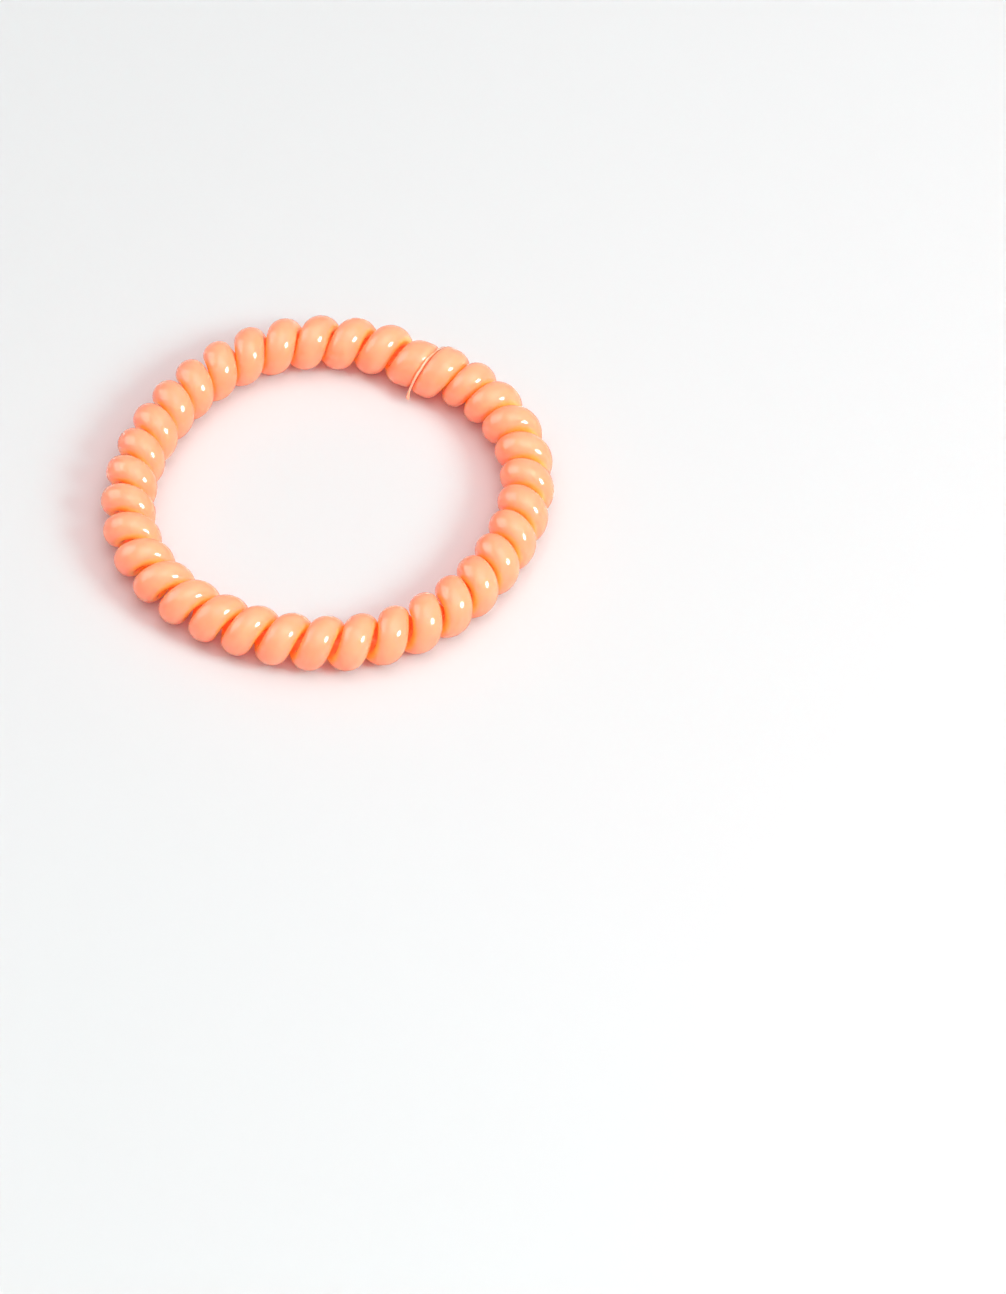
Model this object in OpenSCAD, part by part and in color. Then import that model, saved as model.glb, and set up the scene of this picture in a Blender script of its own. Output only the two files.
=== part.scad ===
// Spiral hair tie: a glossy plastic strand wound into a tight coil, the coil bent round into a
// ring and welded to itself. Millimetres, +Z up, lying flat as it does by itself.
// The origin is at the bottom centre of the tie.

/* [Ring] */
// Diameter of the ring along the middle of the coil
ring_d = 49.7; // [47:0.1:54]
// Number of turns of the coil round the ring
turns = 35; // [32:1:37]
// Direction of the first turn round the ring
start_dir = -0.5; // [-5:0.5:5]
// How far the loosest stretch of the ring draws its turns apart
spread_len = 0.25; // [0:0.01:0.4]
// Direction in which the turns change from tight to loose
spread_dir = 76; // [0:1:360]

/* [Coil] */
// Outer diameter of the coil
coil_d = 7; // [6.6:0.1:7.6]
// Width of the strand along the coil
strand_w = 4.1; // [3.6:0.05:4.2]
// Depth of the strand's rounded outer face
crown_h = 1.6; // [1.4:0.05:2]
// Diameter of the open bore along the middle of the coil
bore_d = 0.8; // [0.6:0.1:1.2]
// Smallest gap left between neighbouring turns
turn_gap = 0.12; // [0.1:0.01:0.2]

/* [Joint] */
// Direction of the welded joint round the ring
joint_dir = 60; // [40:1:320]
// How far the turns beside the joint are pressed towards it
press_len = 0.75; // [0:0.05:0.9]
// Stretch of the ring that the pressing reaches, in turns either way
press_turns = 1.35; // [1:0.05:1.5]
// How far the turns beside the joint stand up square to the ring
square_len = 0.9; // [0:0.05:1]
// How much wider the strand is beside the joint
widen_len = 0.3; // [0:0.05:0.5]
// How far the strand is drawn in towards the middle of the ring at the joint
tuck_len = 1.05; // [0:0.05:1.1]

/* [Film] */
// Thickness of the film squeezed out of the joint
film_t = 0.25; // [0.2:0.05:0.35]
// Clearance between the film and the turns beside it
film_gap = 0.05; // [0.04:0.01:0.1]
// Height that the film stands above the coil
film_h = 0.1; // [0:0.05:0.5]
// Extra height of the tail at the film's inner end
tail_h = 0.9; // [0.4:0.1:1.2]

/* [Hidden] */

ring_r = ring_d / 2;
coil_r = coil_d / 2;
bore_r = bore_d / 2;
// Radius from the middle of the coil at which the strand is widest
core_r = coil_r - crown_h;
pitch = PI * ring_d / turns;
turn_angle = 360 / turns;
full_turn = 360;

// The ring is a little out of round. Each row is one wave round it: how many crests it has,
// their height as a share of the ring's radius, and the direction of one crest.
wave_count = 0;
wave_share = 1;
wave_dir = 2;
ring_waves = [
    [2, 0.012, 28],
    [3, 0.004, -11],
    [4, 0.016, 18],
];

// The turns stand square about this angle round the coil, from its outer side over the top
square_dir = 45;
// The film lies in the gap after this turn. The pressing is even about the next place, and the
// strand is drawn in most at the last one.
joint_turn = floor(joint_dir / turn_angle);
press_turn = joint_turn - 0.15;
tuck_turn = joint_turn + 0.95;
// How far round the widening and the drawing in reach, in turns either way
widen_turns = 1.4;
tuck_turns = 0.47;
// How square the two flanks beside the film are, from 0 for round to 1 for flat
flank_square = 0.6;
// Stretch of the coil that the film covers, as angles from its outer side over the top,
// and the stretch at either end in which the turns part to make room for it
film_from = -45;
film_to = 225;
film_fade = 45;
tail_dir = 207;
tail_angle = 14;

// Facets of one turn along the strand, and round its outer and inner faces
steps_per_turn = 16;
outer_steps = 6;
inner_steps = 4;
film_step = 11.25;

// Every place on the coil is a turn count: whole numbers lie on the outer side of the ring,
// and a quarter more lies on top.
function clamp(x) = min(1, max(0, x));
// 1 at zero, falling off smoothly either way
function bell(x) = exp(-x * x / 2);
function total(list) = list * [for (x = list) 1];
function coil_angle(turn) = full_turn * turn;

// Distance in turns from the joint, the short way round
function turns_off(turn) =
    (turn - press_turn + 2.5 * turns) % turns - turns / 2;
function near_joint(turn) = bell(turns_off(turn) / press_turns);
function tuck_at(turn) =
    tuck_len * bell((turns_off(turn) + press_turn - tuck_turn) / tuck_turns);

// How far a place on the strand lies ahead of its even spacing
function shift_at(turn) =
    -spread_len * sin(turn_angle * turn - spread_dir)
    - press_len * turns_off(turn) / press_turns * near_joint(turn)
    - square_len * sin(coil_angle(turn) - square_dir) * near_joint(turn);
function ring_angle(turn) = start_dir + turn_angle * (turn + shift_at(turn) / pitch);

// The ring's middle line, its radius and how fast the radius grows along it
function radius_at(a) =
    ring_r * (1 + total([for (w = ring_waves)
        w[wave_share] * cos(w[wave_count] * (a - w[wave_dir]))]));
function growth_at(a) =
    -ring_r * total([for (w = ring_waves)
        w[wave_share] * w[wave_count] * sin(w[wave_count] * (a - w[wave_dir]))]);
function middle_at(a) = [radius_at(a) * cos(a), radius_at(a) * sin(a), coil_r];
// Direction of the ring's outer normal, and the two directions that a section is drawn in
function outward_dir(a) = a - atan2(growth_at(a), radius_at(a));
function along(a) = [-sin(outward_dir(a)), cos(outward_dir(a)), 0];
function away(a, c) = [cos(c) * cos(outward_dir(a)), cos(c) * sin(outward_dir(a)), sin(c)];

// A point beside the ring's middle line: x along the ring, h away from the middle line, and
// the whole section drawn in by the tuck
function place(a, c, x, h, tuck) =
    middle_at(a) - tuck * away(a, 0) + x * along(a) + h * away(a, c);
function core_point(turn) =
    place(ring_angle(turn), coil_angle(turn), 0, core_r, tuck_at(turn));

// Room left between a turn and the next one: the film's slot at the joint, else the turn gap
function slot_share(angle) =
    clamp((angle - film_from + film_fade) / film_fade)
    * clamp((film_to + film_fade - angle) / film_fade);
function gap_after(turn) =
    turn_gap + (film_t + 2 * film_gap - turn_gap) * slot_share(coil_angle(turn - joint_turn));
// Half the strand's width towards the next turn
function half_after(turn) =
    let (
        a = (ring_angle(turn) + ring_angle(turn + 1)) / 2,
        apart = (core_point(turn + 1) - core_point(turn)) * along(a),
        width = strand_w + widen_len * bell(turns_off(turn + 0.5) / widen_turns)
    )
    min(width, apart - gap_after(turn)) / 2;

// The strand's section is round outside and drawn in towards the bore
section_angles = concat(
    [for (i = [0 : outer_steps]) 180 * i / outer_steps],
    [for (i = [1 : inner_steps - 1]) 180 + 180 * i / inner_steps]
);
function section(turn) =
    let (
        a = ring_angle(turn),
        c = coil_angle(turn),
        ahead = half_after(turn),
        behind = half_after(turn - 1),
        square_ahead = flank_square * slot_share(coil_angle(turn - joint_turn)),
        square_behind = flank_square * slot_share(coil_angle(turn - joint_turn - 1))
    )
    [for (q = section_angles)
        let (
            side = cos(q) > 0 ? ahead : -behind,
            depth = sin(q) > 0 ? crown_h : bore_r - core_r,
            power = sin(q) > 0 ? 1 - (cos(q) > 0 ? square_ahead : square_behind) : 1
        )
        place(a, c,
            side * pow(abs(cos(q)), power),
            core_r + depth * pow(abs(sin(q)), power),
            tuck_at(turn))];

// One section of the film, midway between a turn and the next
function film_height(c) = film_h + tail_h * bell((c - tail_dir) / tail_angle);
function film_section(c) =
    let (
        turn = joint_turn + c / full_turn,
        a = (ring_angle(turn) + ring_angle(turn + 1)) / 2,
        tuck = (tuck_at(turn) + tuck_at(turn + 1)) / 2,
        top = coil_r + film_height(c)
    )
    [for (corner = [[1, core_r], [1, top], [-1, top], [-1, core_r]])
        place(a, c, corner[0] * film_t / 2, corner[1], tuck)];

// Two triangles for each step from one section to the next
function side_faces(rings, size, closed) =
    [for (i = [0 : rings - (closed ? 1 : 2)], j = [0 : size - 1])
        let (
            here = i * size,
            next = (i + 1) % rings * size,
            k = (j + 1) % size
        )
        each [[here + j, here + k, next + j], [here + k, next + k, next + j]]];

station_count = turns * steps_per_turn;
coil_sections = [for (i = [0 : station_count - 1]) section(i / steps_per_turn)];
coil_points = [for (s = coil_sections) each s];
// Middle of the coil's box, which the origin is set to
centre = [for (k = [0 : 1])
    (min([for (p = coil_points) p[k]]) + max([for (p = coil_points) p[k]])) / 2];

module coil_strand() {
    color([0.98, 0.67, 0.47])
    translate([-centre[0], -centre[1], 0])
    polyhedron(coil_points, side_faces(station_count, len(section_angles), true), 10);
}

module joint_film() {
    sections = [for (c = [film_from : film_step : film_to]) film_section(c)];
    last = (len(sections) - 1) * 4;
    color([1, 0.87, 0.78])
    translate([-centre[0], -centre[1], 0])
    polyhedron(
        [for (s = sections) each s],
        concat([[3, 2, 1, 0]], [[last, last + 1, last + 2, last + 3]],
            side_faces(len(sections), 4, false)),
        10
    );
}

coil_strand();
joint_film();
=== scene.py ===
import math

import bpy
from mathutils import Matrix, Vector


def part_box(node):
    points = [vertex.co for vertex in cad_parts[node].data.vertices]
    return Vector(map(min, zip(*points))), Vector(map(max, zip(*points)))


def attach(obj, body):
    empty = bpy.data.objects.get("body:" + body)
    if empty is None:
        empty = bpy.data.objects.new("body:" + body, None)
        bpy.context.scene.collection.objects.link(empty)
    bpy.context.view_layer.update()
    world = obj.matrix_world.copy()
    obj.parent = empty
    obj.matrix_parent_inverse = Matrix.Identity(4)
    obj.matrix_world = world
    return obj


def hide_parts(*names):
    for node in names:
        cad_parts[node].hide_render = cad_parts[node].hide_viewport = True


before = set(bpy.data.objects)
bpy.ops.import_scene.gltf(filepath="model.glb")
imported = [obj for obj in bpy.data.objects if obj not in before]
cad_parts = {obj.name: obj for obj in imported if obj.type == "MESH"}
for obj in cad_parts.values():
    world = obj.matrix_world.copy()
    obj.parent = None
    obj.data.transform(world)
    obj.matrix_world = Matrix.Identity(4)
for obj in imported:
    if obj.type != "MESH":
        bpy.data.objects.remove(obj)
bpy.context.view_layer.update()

# One strand of glossy plastic winds left-handed round a ring. A place on the coil is a count of
# turns: whole numbers lie on the outer side of the ring, and a quarter more lies on top.
coil = {
    "turns": 35,
    "ringDiameter": 0.0497,
    "startDirection": math.radians(-0.5),
    "spreadLength": 0.00025,  # how far the loose stretch of the ring draws its turns apart
    "spreadDirection": math.radians(76),
    "coilDiameter": 0.007,
    "strandWidth": 0.0041,
    "crownHeight": 0.0016,  # depth of the strand's rounded outer face
    "boreDiameter": 0.0008,
    "turnGap": 0.00012,
    "jointTurn": 5,  # the weld lies in the gap after this turn
    "pressTurn": 4.85,  # the end turns are pressed together evenly about here
    "pressLength": 0.00075,
    "pressReach": 1.35,  # reaches are counts of turns either way
    "squareLength": 0.0009,  # how far the end turns stand up square to the ring
    "squareDirection": math.radians(45),
    "widenLength": 0.0003,  # how much wider the strand is at the joint
    "widenReach": 1.4,
    "tuckTurn": 5.95,  # the strand is drawn in most here
    "tuckLength": 0.00105,
    "tuckReach": 0.47,
    "flankSquare": 0.6,  # how flat the flanks beside the film are
    "filmThickness": 0.00025,
    "filmClearance": 0.00005,
    "filmFrom": math.radians(-45),
    "filmTo": math.radians(225),
    "filmFade": math.radians(45),
    "ovalShare": 0.012,  # the ring is a little out of round, in waves of two, three and four crests
    "ovalDirection": math.radians(28),
    "threeShare": 0.004,
    "threeDirection": math.radians(-11),
    "fourShare": 0.016,
    "fourDirection": math.radians(18),
    "sealDistance": 0.000004,  # points nearer than this become one
}

strand = {
    "stationsPerTurn": 48,
    "sidesRound": 36,
    "waverDepth": 0.00003,  # the moulded skin is faintly uneven
    "waverSize": 0.0022,
    "waverDetail": 1.0,
    "creaseFrom": 0.9,  # where the painted crease shade begins and is full, as shares of the half width
    "creaseTo": 1.0,
}

film = {
    "filmStations": 200,
    "filmSides": 24,
    "filmRoot": 0.0023,  # distances from the middle of the coil
    "filmLip": 0.00308,
    "filmLean": 0.0001,  # along the ring, towards the later turn
    "endTaper": 24.0,  # how soon the film has its full height from either end
    "leafThickness": 0.00014,
    "swellFrom": math.radians(80),  # from here to there the film grows higher and thicker
    "swellTo": math.radians(150),
    "swellRise": 0.00044,
    "swellThickness": 0.00018,
    "foldReach": 0.0016,  # at its outer end the film is folded over the earlier turn
    "foldRise": 0.00042,
    "foldDirection": math.radians(40),
    "foldSpread": math.radians(16),
    "tailRise": 0.0011,
    "tailLean": 0.0006,
    "tailDirection": math.radians(205),
    "tailSpread": math.radians(10),
    "lipWaver": 0.00007,
    "lipWaves": 7.3,  # waves and finer ripples of the lip, for each radian about the coil
    "lipRipples": 17.9,
    "rippleShare": 0.5,
    "leastClimb": 0.00001,  # keeps the leaf's slope from being nothing at its lip
}


# Arithmetic on a node tree's values: each operation adds one Math node.
class term:
    def __init__(self, tree, socket):
        self.tree = tree
        self.socket = socket

    def __add__(self, other):
        return mathNode("ADD", self, other)

    def __radd__(self, other):
        return mathNode("ADD", other, self)

    def __sub__(self, other):
        return mathNode("SUBTRACT", self, other)

    def __rsub__(self, other):
        return mathNode("SUBTRACT", other, self)

    def __mul__(self, other):
        return mathNode("MULTIPLY", self, other)

    def __rmul__(self, other):
        return mathNode("MULTIPLY", other, self)

    def __truediv__(self, other):
        return mathNode("DIVIDE", self, other)

    def __rtruediv__(self, other):
        return mathNode("DIVIDE", other, self)


def feed(tree, slot, value):
    if isinstance(value, term):
        tree.links.new(value.socket, slot)
    else:
        slot.default_value = value


def mathNode(operation, *values):
    tree = next(value.tree for value in values if isinstance(value, term))
    node = tree.nodes.new("ShaderNodeMath")
    node.operation = operation
    for slot, value in zip(node.inputs, values):
        feed(tree, slot, value)
    return term(tree, node.outputs[0])


def sine(value):
    return mathNode("SINE", value)


def cosine(value):
    return mathNode("COSINE", value)


def bell(value):
    # 1 at zero, falling off smoothly either way
    return mathNode("EXPONENT", value * value * -0.5)


def clamp(value):
    return mathNode("MINIMUM", mathNode("MAXIMUM", value, 0), 1)


def raised(value, power):
    return mathNode("POWER", mathNode("ABSOLUTE", value), power)


def choose(test, above, below):
    # above where test is more than zero, else below
    return below + (above - below) * mathNode("GREATER_THAN", test, 0)


# The coil's shape, from the middle line of the ring outwards. Angles are in radians.
def turnsOff(size, turn, middle):
    # turns from the middle to here, the short way round the ring; two rings' worth of turns more
    # keep the remainder positive
    turns = size["turns"]
    return mathNode("MODULO", turn - size[middle] + turns * 2.5, turns) - turns / 2


def ringAngle(size, turn):
    turnAngle = 2 * math.pi / size["turns"]
    pitch = math.pi * size["ringDiameter"] / size["turns"]
    off = turnsOff(size, turn, "pressTurn") / size["pressReach"]
    near = bell(off)
    spread = size["spreadLength"] * sine(turnAngle * turn - size["spreadDirection"])
    press = size["pressLength"] * off * near
    square = size["squareLength"] * near * sine(2 * math.pi * turn - size["squareDirection"])
    return size["startDirection"] + turnAngle * (turn - (spread + press + square) / pitch)


def ringLine(size, angle):
    # radius of the ring's middle line in this direction, and the direction of its outer normal
    waves = [
        (2, size["ovalShare"], size["ovalDirection"]),
        (3, size["threeShare"], size["threeDirection"]),
        (4, size["fourShare"], size["fourDirection"]),
    ]
    radius = 1
    growth = 0
    for crests, share, direction in waves:
        phase = crests * (angle - direction)
        radius = radius + share * cosine(phase)
        growth = growth - crests * share * sine(phase)
    outward = angle - mathNode("ARCTAN2", growth, radius)
    return radius * size["ringDiameter"] / 2, outward


def place(size, angle, about, along, height, tuck):
    # a point beside the ring's middle line: the angle about the coil, the length along the ring,
    # the height from the middle of the coil, and how far the whole section is drawn in
    radius, outward = ringLine(size, angle)
    reach = height * cosine(about) - tuck
    x = radius * cosine(angle) + reach * cosine(outward) - along * sine(outward)
    y = radius * sine(angle) + reach * sine(outward) + along * cosine(outward)
    z = size["coilDiameter"] / 2 + height * sine(about)
    return x, y, z


def tuckAt(size, turn):
    return size["tuckLength"] * bell(turnsOff(size, turn, "tuckTurn") / size["tuckReach"])


def coreRadius(size):
    # where the strand is widest
    return size["coilDiameter"] / 2 - size["crownHeight"]


def corePoint(size, turn):
    angle = ringAngle(size, turn)
    return place(size, angle, 2 * math.pi * turn, 0, coreRadius(size), tuckAt(size, turn))


def filmRoom(size, turn):
    # share of the film's slot that is open here, 1 where the film lies
    angle = 2 * math.pi * (turn - size["jointTurn"])
    rise = clamp((angle - size["filmFrom"] + size["filmFade"]) / size["filmFade"])
    fall = clamp((size["filmTo"] + size["filmFade"] - angle) / size["filmFade"])
    return rise * fall


def halfAfter(size, turn):
    # half the strand's width towards the next turn
    here = corePoint(size, turn)
    ahead = corePoint(size, turn + 1)
    middle = (ringAngle(size, turn) + ringAngle(size, turn + 1)) / 2
    outward = ringLine(size, middle)[1]
    apart = (ahead[1] - here[1]) * cosine(outward) - (ahead[0] - here[0]) * sine(outward)
    slot = size["filmThickness"] + 2 * size["filmClearance"]
    gap = size["turnGap"] + (slot - size["turnGap"]) * filmRoom(size, turn)
    wider = bell(turnsOff(size, turn + 0.5, "pressTurn") / size["widenReach"])
    width = size["strandWidth"] + size["widenLength"] * wider
    return mathNode("MINIMUM", width, apart - gap) / 2


# Node trees
def startTree(name, sizes):
    # a tree with one named input for each size
    tree = bpy.data.node_groups.new(name, "GeometryNodeTree")
    tree.interface.new_socket("Geometry", in_out="OUTPUT", socket_type="NodeSocketGeometry")
    for key, value in sizes.items():
        kind = "NodeSocketInt" if isinstance(value, int) else "NodeSocketFloat"
        tree.interface.new_socket(key, in_out="INPUT", socket_type=kind)
    inputs = tree.nodes.new("NodeGroupInput")
    return tree, {key: term(tree, inputs.outputs[key]) for key in sizes}


def addNode(tree, kind, **values):
    # values are the node's inputs by name, with spaces left out
    node = tree.nodes.new(kind)
    for slot in node.inputs:
        key = slot.name.replace(" ", "")
        if key in values:
            feed(tree, slot, values[key])
    return node


def gridPlaces(tree, stations, sides):
    # a sheet of stations by sides, with its two coordinates from 0 to 1
    grid = addNode(tree, "GeometryNodeMeshGrid", SizeX=1.0, SizeY=1.0,
                   VerticesX=stations + 1, VerticesY=sides + 1)
    position = tree.nodes.new("GeometryNodeInputPosition")
    parts = tree.nodes.new("ShaderNodeSeparateXYZ")
    tree.links.new(position.outputs[0], parts.inputs[0])
    u = term(tree, parts.outputs["X"]) + 0.5
    v = term(tree, parts.outputs["Y"]) + 0.5
    return term(tree, grid.outputs["Mesh"]), u, v


def join3(tree, point):
    node = addNode(tree, "ShaderNodeCombineXYZ", X=point[0], Y=point[1], Z=point[2])
    return term(tree, node.outputs[0])


def finishTree(tree, mesh, material):
    # smooth shading, instances made real and the material set
    smooth = addNode(tree, "GeometryNodeSetShadeSmooth", Geometry=mesh)
    real = addNode(tree, "GeometryNodeRealizeInstances",
                   Geometry=term(tree, smooth.outputs[0]))
    painted = addNode(tree, "GeometryNodeSetMaterial", Geometry=term(tree, real.outputs[0]))
    painted.inputs["Material"].default_value = material
    output = tree.nodes.new("NodeGroupOutput")
    tree.links.new(painted.outputs[0], output.inputs[0])


def makePiece(name, tree, sizes, material):
    # runs the tree on an empty mesh, and keeps the result as a plain mesh
    carrier = bpy.data.objects.new(name + "Carrier", bpy.data.meshes.new(name + "Carrier"))
    bpy.context.scene.collection.objects.link(carrier)
    modifier = carrier.modifiers.new("shape", "NODES")
    modifier.node_group = tree
    for item in tree.interface.items_tree:
        if item.in_out == "INPUT":
            modifier[item.identifier] = sizes[item.name]
    bpy.context.view_layer.update()
    ready = carrier.evaluated_get(bpy.context.evaluated_depsgraph_get())
    mesh = bpy.data.meshes.new_from_object(ready)
    carrier.modifiers.remove(modifier)
    bpy.data.objects.remove(carrier)
    mesh.name = name
    mesh.materials.clear()
    mesh.materials.append(material)
    piece = bpy.data.objects.new(name, mesh)
    bpy.context.scene.collection.objects.link(piece)
    return piece


# Materials
def newMaterial(name):
    material = bpy.data.materials.new(name)
    material.use_nodes = True
    return material, material.node_tree.nodes["Principled BSDF"]


def objectNoise(tree, size, detail):
    # noise that stays with the object, with lumps of about this size
    where = tree.nodes.new("ShaderNodeTexCoord")
    noise = tree.nodes.new("ShaderNodeTexNoise")
    noise.inputs["Scale"].default_value = 1 / size
    noise.inputs["Detail"].default_value = detail
    tree.links.new(where.outputs["Object"], noise.inputs["Vector"])
    return noise


def mottled(tree, look):
    # soft lumps of a paler shade in the plastic's colour
    lumps = objectNoise(tree, look["mottleSize"], look["mottleDetail"])
    ramp = tree.nodes.new("ShaderNodeValToRGB")
    ramp.color_ramp.elements[0].position = look["mottleFrom"]
    ramp.color_ramp.elements[1].position = look["mottleTo"]
    ramp.color_ramp.elements[0].color = (*look["colour"], 1)
    ramp.color_ramp.elements[1].color = (*look["paleColour"], 1)
    tree.links.new(lumps.outputs[0], ramp.inputs[0])
    return ramp.outputs[0]


def setPlastic(shader, look):
    # glossy skin over milky plastic that light travels through
    shader.inputs["Roughness"].default_value = look["roughness"]
    shader.inputs["IOR"].default_value = look["ior"]
    shader.inputs["Specular IOR Level"].default_value = look["gloss"]
    shader.inputs["Subsurface Weight"].default_value = 1
    shader.inputs["Subsurface Scale"].default_value = look["depth"]
    shader.inputs["Subsurface Radius"].default_value = look["depthByColour"]


peach = {
    "colour": (0.995, 0.332, 0.197),
    "paleColour": (0.995, 0.36, 0.22),
    "creaseColour": (0.995, 0.46, 0.12),  # painted shade: a deeper orange where neighbouring turns shade each other
    "mottleSize": 0.005,
    "mottleDetail": 3,
    "mottleFrom": 0.35,
    "mottleTo": 0.65,
    "roughness": 0.07,
    "ior": 1.55,
    "gloss": 0.85,
    "depth": 0.0025,  # how far light travels in the milky plastic
    "depthByColour": (1.0, 0.32, 0.2),
    "waveSize": 0.0009,  # the gloss has faint waves
    "waveDetail": 2,
    "waveHeight": 0.000005,
}


def peachPlastic():
    material, shader = newMaterial("peachPlastic")
    tree = material.node_tree
    # painted shade: the stored crease share mixes a deeper orange into the colour where turns shade
    # each other
    crease = tree.nodes.new("ShaderNodeAttribute")
    crease.attribute_name = "crease"
    # sockets 6 and 7 of this node are its two colours, and output 2 is their mix
    colour = tree.nodes.new("ShaderNodeMix")
    colour.data_type = "RGBA"
    tree.links.new(crease.outputs["Fac"], colour.inputs["Factor"])
    tree.links.new(mottled(tree, peach), colour.inputs[6])
    colour.inputs[7].default_value = (*peach["creaseColour"], 1)
    tree.links.new(colour.outputs[2], shader.inputs["Base Color"])
    setPlastic(shader, peach)
    waves = objectNoise(tree, peach["waveSize"], peach["waveDetail"])
    bump = tree.nodes.new("ShaderNodeBump")
    bump.inputs["Distance"].default_value = peach["waveHeight"]
    tree.links.new(waves.outputs[0], bump.inputs["Height"])
    tree.links.new(bump.outputs[0], shader.inputs["Normal"])
    return material


clearPeach = {
    "colour": (0.95, 0.36, 0.28),
    "paleColour": (0.96, 0.45, 0.37),
    "mottleSize": 0.0012,
    "mottleDetail": 3,
    "mottleFrom": 0.35,
    "mottleTo": 0.65,
    "roughness": 0.12,
    "ior": 1.5,
    "gloss": 0.5,
    "depth": 0.0015,
    "depthByColour": (1.0, 0.6, 0.4),
}


def filmPlastic():
    material, shader = newMaterial("filmPlastic")
    tree = material.node_tree
    tree.links.new(mottled(tree, clearPeach), shader.inputs["Base Color"])
    setPlastic(shader, clearPeach)
    return material


# Strand: a section is round outside and drawn in towards the bore
def strandTree(sizes, material):
    tree, size = startTree("strandShape", sizes)
    stations = size["turns"] * size["stationsPerTurn"]
    sheet, u, v = gridPlaces(tree, stations, size["sidesRound"])
    turn = u * size["turns"]
    around = v * 2 * math.pi
    core = coreRadius(size)
    side = choose(cosine(around), halfAfter(size, turn), halfAfter(size, turn - 1))
    depth = choose(sine(around), size["crownHeight"], core - size["boreDiameter"] / 2)
    # the power sets how square this quarter of the section is, 2 for round
    square = choose(cosine(around), filmRoom(size, turn), filmRoom(size, turn - 1))
    power = 2 / (1 - size["flankSquare"] * choose(sine(around), square, 0))
    reach = raised(cosine(around), power) + raised(sine(around), power)
    reach = mathNode("POWER", reach, -1 / power)
    along = cosine(around) * side * reach
    height = core + sine(around) * depth * reach
    angle = ringAngle(size, turn)
    point = place(size, angle, 2 * math.pi * turn, along, height, tuckAt(size, turn))
    # painted shade: a share that is full at the flanks, where neighbouring turns shade each other
    flank = mathNode("ABSOLUTE", cosine(around))
    crease = clamp((flank - size["creaseFrom"]) / (size["creaseTo"] - size["creaseFrom"]))
    marked = addNode(tree, "GeometryNodeStoreNamedAttribute", Geometry=sheet, Name="crease",
                     Value=crease)
    wound = addNode(tree, "GeometryNodeSetPosition", Geometry=term(tree, marked.outputs[0]),
                    Position=join3(tree, point))
    closed = addNode(tree, "GeometryNodeMergeByDistance",
                     Geometry=term(tree, wound.outputs[0]), Distance=size["sealDistance"])
    waver = addNode(tree, "ShaderNodeTexNoise", Scale=1 / size["waverSize"],
                    Detail=size["waverDetail"])
    dent = size["waverDepth"] * term(tree, waver.outputs[0])
    normal = tree.nodes.new("GeometryNodeInputNormal")
    inward = tree.nodes.new("ShaderNodeVectorMath")
    inward.operation = "SCALE"
    tree.links.new(normal.outputs[0], inward.inputs[0])
    feed(tree, inward.inputs["Scale"], dent * -1)
    moulded = addNode(tree, "GeometryNodeSetPosition", Geometry=term(tree, closed.outputs[0]),
                      Offset=term(tree, inward.outputs[0]))
    finishTree(tree, term(tree, moulded.outputs[0]), material)
    return tree


# Film: a thin leaf that stands in the gap at the joint, with a wavy lip and a tail
def filmTree(sizes, material):
    tree, size = startTree("filmShape", sizes)
    sheet, u, v = gridPlaces(tree, size["filmStations"], size["filmSides"])
    about = size["filmFrom"] + (size["filmTo"] - size["filmFrom"]) * u
    turn = size["jointTurn"] + about / (2 * math.pi)
    angle = (ringAngle(size, turn) + ringAngle(size, turn + 1)) / 2
    tuck = (tuckAt(size, turn) + tuckAt(size, turn + 1)) / 2
    ends = mathNode("SQRT", clamp(u * (1 - u) * size["endTaper"]))
    fold = bell((about - size["foldDirection"]) / size["foldSpread"])
    tail = bell((about - size["tailDirection"]) / size["tailSpread"])
    ripples = sine(about * size["lipRipples"]) * size["rippleShare"]
    waver = size["lipWaver"] * (sine(about * size["lipWaves"]) + ripples)
    swell = clamp((about - size["swellFrom"]) / (size["swellTo"] - size["swellFrom"]))
    lip = size["filmLip"] + size["foldRise"] * fold + size["swellRise"] * swell
    lip = lip + size["tailRise"] * tail + waver
    lean = size["filmLean"] - size["foldReach"] * fold - size["tailLean"] * tail
    # the leaf rises first and then leans over, and its thickness is square to its slope
    rise = (1 + sine(v * 2 * math.pi)) / 2
    left = 1 - rise
    high = (lip - size["filmRoot"]) * ends
    climb = high * left * left + size["leastClimb"]
    slide = lean * rise * rise
    thickness = size["leafThickness"] + size["swellThickness"] * swell
    half = cosine(v * 2 * math.pi) * thickness / 2 * ends
    half = half / mathNode("SQRT", climb * climb + slide * slide)
    height = size["filmRoot"] + high * (1 - left * left * left) - half * slide
    point = place(size, angle, about, slide * rise + half * climb, height, tuck)
    leaf = addNode(tree, "GeometryNodeSetPosition", Geometry=sheet, Position=join3(tree, point))
    closed = addNode(tree, "GeometryNodeMergeByDistance",
                     Geometry=term(tree, leaf.outputs[0]), Distance=size["sealDistance"])
    finishTree(tree, term(tree, closed.outputs[0]), material)
    return tree


plasticPeach = peachPlastic()
plasticFilm = filmPlastic()
print("materials made")

strandSizes = {**coil, **strand}
strandShape = strandTree(strandSizes, plasticPeach)
coilStrand = makePiece("coilStrand", strandShape, strandSizes, plasticPeach)
filmSizes = {**coil, **film}
filmShape = filmTree(filmSizes, plasticFilm)
jointFilm = makePiece("jointFilm", filmShape, filmSizes, plasticFilm)
print("strand:", len(coilStrand.data.polygons), "faces, film:", len(jointFilm.data.polygons))


def middleOf(low, high):
    return (Vector(low) + Vector(high)) / 2


def meshBox(piece):
    corners = [vertex.co for vertex in piece.data.vertices]
    low = Vector([min(corner[k] for corner in corners) for k in range(3)])
    high = Vector([max(corner[k] for corner in corners) for k in range(3)])
    return low, high


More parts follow.
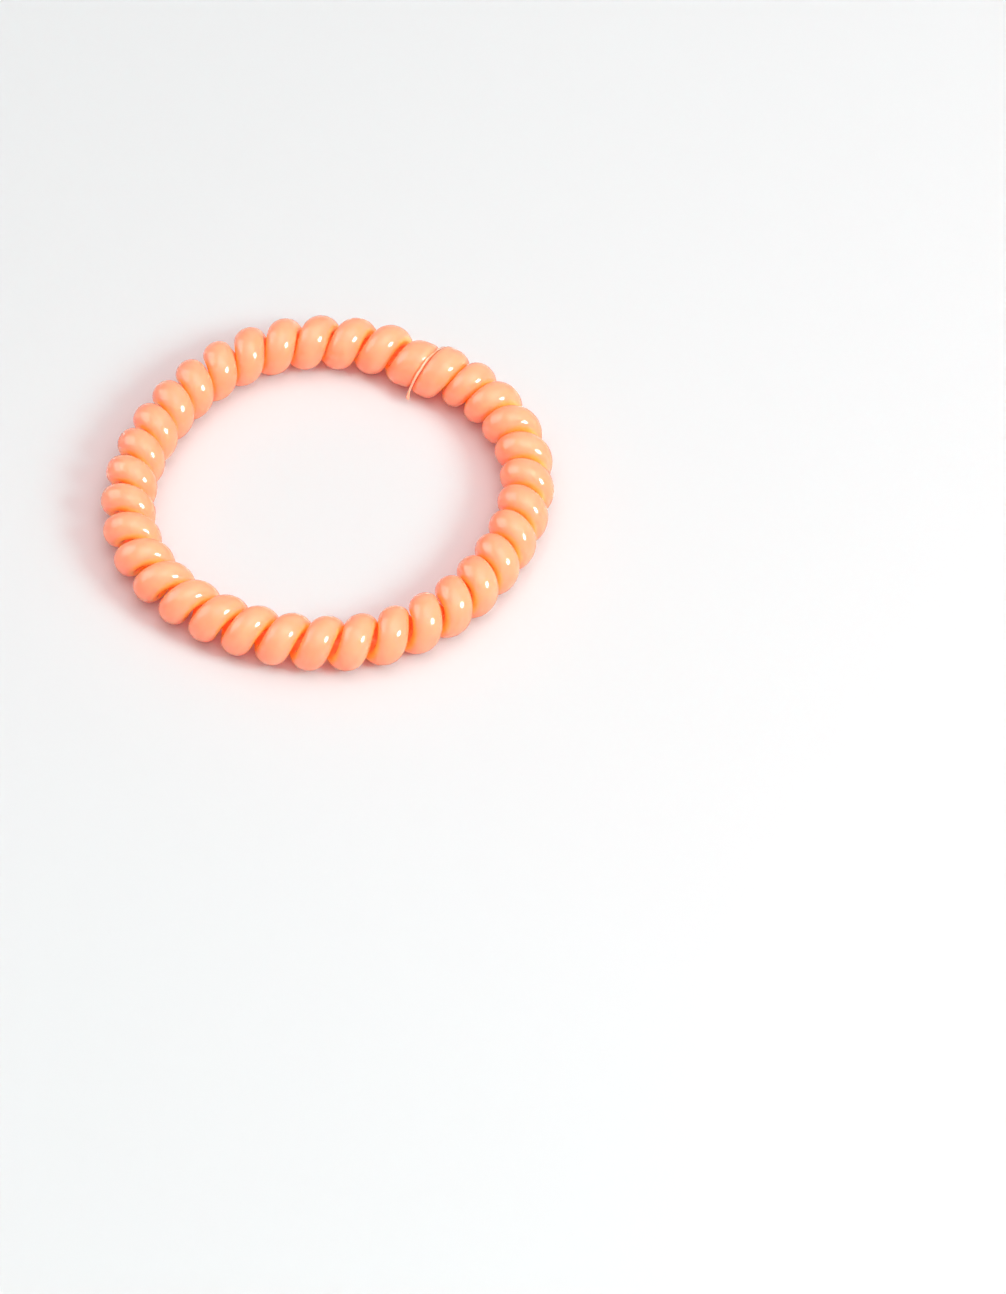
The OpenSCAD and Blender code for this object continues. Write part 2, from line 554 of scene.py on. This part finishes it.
# The ring's own centre isn't the middle of its box, so both pieces move to where the frame is
shift = middleOf(*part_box("coil_strand")) - middleOf(*meshBox(coilStrand))
shift.z = 0
for piece in (coilStrand, jointFilm):
    piece.data.transform(Matrix.Translation(shift))
    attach(piece, "root")
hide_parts("coil_strand")
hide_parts("joint_film")
print("pieces placed, shift in mm", [round(value * 1000, 3) for value in shift])


# Pale sweep, soft studio light and the camera. Light passes through the milky plastic and takes its
# colour, which a path tracer leaves out of shadows and grooves. So the lights have twins that the
# tie doesn't stop: red ones for the sweep, with a share of the lights' own red, and orange ones for
# the tie, with one more of these from the left. Each light stands in its direction from the ring.
studio = {
    "sweepSize": 3.0,
    "sweepColour": (0.69, 0.683, 0.686),
    "sweepRoughness": 0.9,
    "sweepGloss": 0.1,
    "throughShare": 0.47,  # the share of red that shines through the tie
    "innerColour": (0.55, 0.23, 0.03),
    "wallStrength": 0.33,
    "wallGloss": 0.6,  # the walls' strength where gloss reflects them
    "glowDirection": (0.14, -0.10, 0.985),  # a broad soft glow above the ring
    "glowStrength": 2.55,
    "glowGloss": 0.6,  # the share of the glow that gloss reflects
    "glowWidth": 0.15,
    "glowDistance": 1.2,
    "glowDiameter": 1.2,
    "glowWatts": 10.9,
    "keyDirection": (0.70, -0.39, 0.60),  # the lamp that makes the bright spot on each turn
    "keyDistance": 0.65,
    "keyDiameter": 0.24,
    "keyWatts": 2.75,
    "fillColour": (0.5, 0.15, 0.02),
    "fillDirection": (-0.70, -0.50, 0.50),
    "fillDistance": 0.65,
    "fillDiameter": 0.4,
    "fillWatts": 3.2,
    "cardDirection": (-0.83, 0.27, 0.49),  # a white card that shows in gloss alone
    "cardDistance": 0.8,
    "cardDiameter": 0.7,
    "cardWatts": 2.6,
}


def buildSweep():
    half = studio["sweepSize"] / 2
    corners = [(-half, -half, 0), (half, -half, 0), (half, half, 0), (-half, half, 0)]
    mesh = bpy.data.meshes.new("sweep")
    mesh.from_pydata(corners, [], [(0, 1, 2, 3)])
    sweep = bpy.data.objects.new("sweep", mesh)
    bpy.context.scene.collection.objects.link(sweep)
    material, shader = newMaterial("sweepPaper")
    shader.inputs["Base Color"].default_value = (*studio["sweepColour"], 1)
    shader.inputs["Roughness"].default_value = studio["sweepRoughness"]
    shader.inputs["Specular IOR Level"].default_value = studio["sweepGloss"]
    mesh.materials.append(material)
    return sweep


def addLight(name, kind, shape, colour):
    direction = Vector(studio[kind + "Direction"]).normalized()
    light = bpy.data.lights.new(name, "AREA")
    light.shape = shape
    light.size = studio[kind + "Diameter"]
    light.energy = studio[kind + "Watts"]
    light.color = colour
    lamp = bpy.data.objects.new(name, light)
    lamp.location = direction * studio[kind + "Distance"]
    lamp.rotation_euler = (-direction).to_track_quat("-Z", "Y").to_euler()
    bpy.context.scene.collection.objects.link(lamp)
    return lamp


def addTwin(name, kind, colour, receivers, blockers):
    # light that reaches the receivers alone, and that only the blockers stop
    lamp = addLight(name, kind, "DISK", colour)
    lamp.light_linking.receiver_collection = receivers
    lamp.light_linking.blocker_collection = blockers
    lamp.visible_glossy = False


def gather(name, members):
    group = bpy.data.collections.new(name)
    for member in members:
        group.objects.link(member)
    return group


def paintWalls():
    # white surroundings, with one broad glow that fades away from its middle
    world = bpy.data.worlds.new("studioWalls")
    world.use_nodes = True
    tree = world.node_tree
    where = tree.nodes.new("ShaderNodeTexCoord")
    facing = tree.nodes.new("ShaderNodeVectorMath")
    facing.operation = "DOT_PRODUCT"
    facing.inputs[1].default_value = Vector(studio["glowDirection"]).normalized()
    tree.links.new(where.outputs["Generated"], facing.inputs[0])
    away = (term(tree, facing.outputs["Value"]) - 1) / studio["glowWidth"]
    glow = studio["glowStrength"] * mathNode("EXPONENT", away)
    # gloss reflects brighter walls and a weaker glow, with the red that the twin takes elsewhere
    path = tree.nodes.new("ShaderNodeLightPath")
    gloss = term(tree, path.outputs["Is Glossy Ray"])
    wall = studio["wallStrength"] + (studio["wallGloss"] - studio["wallStrength"]) * gloss
    glow = glow * (1 - (1 - studio["glowGloss"]) * gloss)
    red = glow * (1 - studio["throughShare"] * (1 - gloss)) + wall
    white = glow + wall
    feed(tree, tree.nodes["Background"].inputs["Color"], join3(tree, (red, white, white)))
    bpy.context.scene.world = world


view = {
    "aim": (0.02218, -0.02265, 0),
    "elevation": math.radians(51.84),
    "distance": 0.6714,
    "lens": 150,
    "sensor": 36,
    "nearest": 0.01,
}


def placeCamera():
    lens = bpy.data.cameras.new("camera")
    lens.lens = view["lens"]
    lens.sensor_fit = "AUTO"
    lens.sensor_width = view["sensor"]
    lens.dof.use_dof = False
    lens.clip_start = view["nearest"]
    camera = bpy.data.objects.new("camera", lens)
    back = Vector((0, -math.cos(view["elevation"]), math.sin(view["elevation"])))
    camera.location = Vector(view["aim"]) + view["distance"] * back
    camera.rotation_euler = (math.pi / 2 - view["elevation"], 0, 0)
    bpy.context.scene.collection.objects.link(camera)
    bpy.context.scene.camera = camera


sweep = buildSweep()
backdrop = gather("backdrop", [sweep])
tie = gather("tie", [coilStrand, jointFilm])
addLight("key", "key", "DISK", (1 - studio["throughShare"], 1, 1))
addLight("card", "card", "SQUARE", (1, 1, 1)).visible_diffuse = False
throughColour = (studio["throughShare"], 0, 0)
for kind in ("key", "glow"):
    addTwin(kind + "Through", kind, throughColour, backdrop, backdrop)
    addTwin(kind + "Inner", kind, studio["innerColour"], tie, backdrop)
addTwin("fillInner", "fill", studio["fillColour"], tie, backdrop)
paintWalls()
placeCamera()
bpy.context.scene.view_settings.view_transform = "Standard"
print("studio set")
